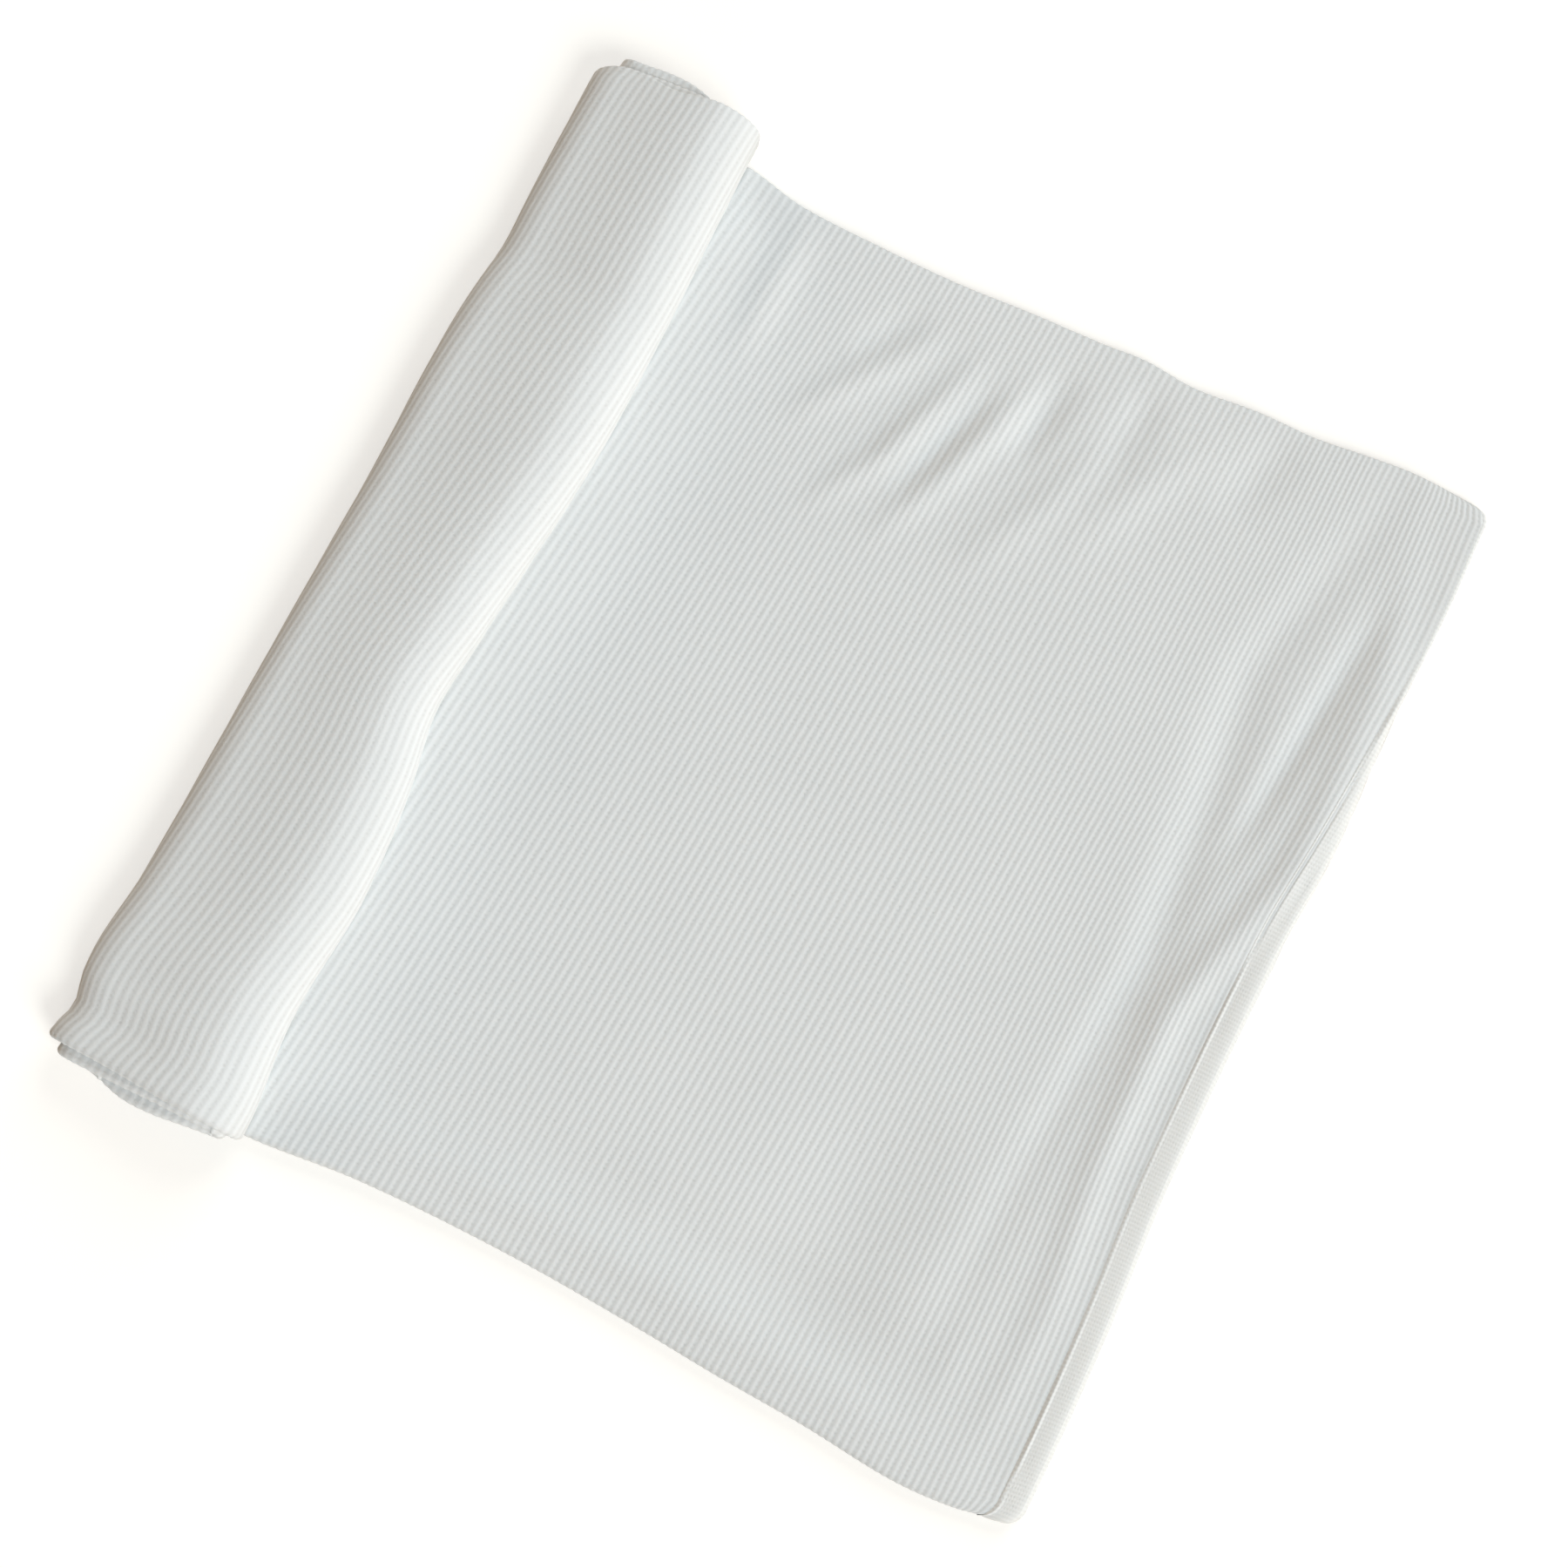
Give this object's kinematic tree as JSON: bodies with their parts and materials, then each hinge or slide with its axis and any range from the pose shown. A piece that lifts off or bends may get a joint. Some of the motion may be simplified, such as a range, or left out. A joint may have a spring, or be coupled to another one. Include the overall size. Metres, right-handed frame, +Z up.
{
  "type": "baby wrap cloth",
  "caption": "Rib-knit baby wrap cloth with a bound edge, folded to a strip and part rolled up; the roll turns out over a crease to lie flat beside the strip.",
  "frame": {"origin": "middle of the bundle's bounding box in plan, on the underside it lies on", "axes": "+X along the strip from the roll to the free end, +Y along the roll towards the turned-in edge, +Z up"},
  "size_m": [0.48, 0.528, 0.0291],
  "materials": {
    "rib_knit": "matt off-white rib knit with a cool grey tint",
    "binding_knit": "matt off-white cross-ribbed binding",
    "seam_thread": "fine off-white sewing thread",
    "label_satin": "blank white satin label"
  },
  "bodies": {
    "flat": {"flat_cloth": "rib_knit", "free_end_binding": "binding_knit", "free_end_stitching": "seam_thread", "flat_side_binding_upper": "binding_knit", "flat_side_binding_lower": "binding_knit", "flat_side_stitching": "seam_thread", "care_label": "label_satin"},
    "crease": {"crease_cloth": "rib_knit", "crease_side_bindings": "binding_knit", "crease_side_stitching": "seam_thread"},
    "roll": {"outer_turn": "rib_knit", "middle_turn": "rib_knit", "core_turn": "rib_knit", "rolled_side_bindings": "binding_knit", "rolled_side_stitching": "seam_thread", "core_end_binding": "binding_knit", "core_end_stitching": "seam_thread"}
  },
  "joints": [
    {"name": "crease_bend", "type": "hinge", "parent": "flat", "child": "crease", "pos_m": [-0.23688, 0, 0.00312], "axis": [0, -1, 0], "range_deg": [0, 90]},
    {"name": "roll_turn", "type": "hinge", "parent": "crease", "child": "roll", "pos_m": [-0.23688, 0, 0.02598], "axis": [0, -1, 0], "range_deg": [0, 90]}
  ],
  "couplings": [
    {"joint": "crease_bend", "follows": "roll_turn", "ratio": 1}
  ]
}
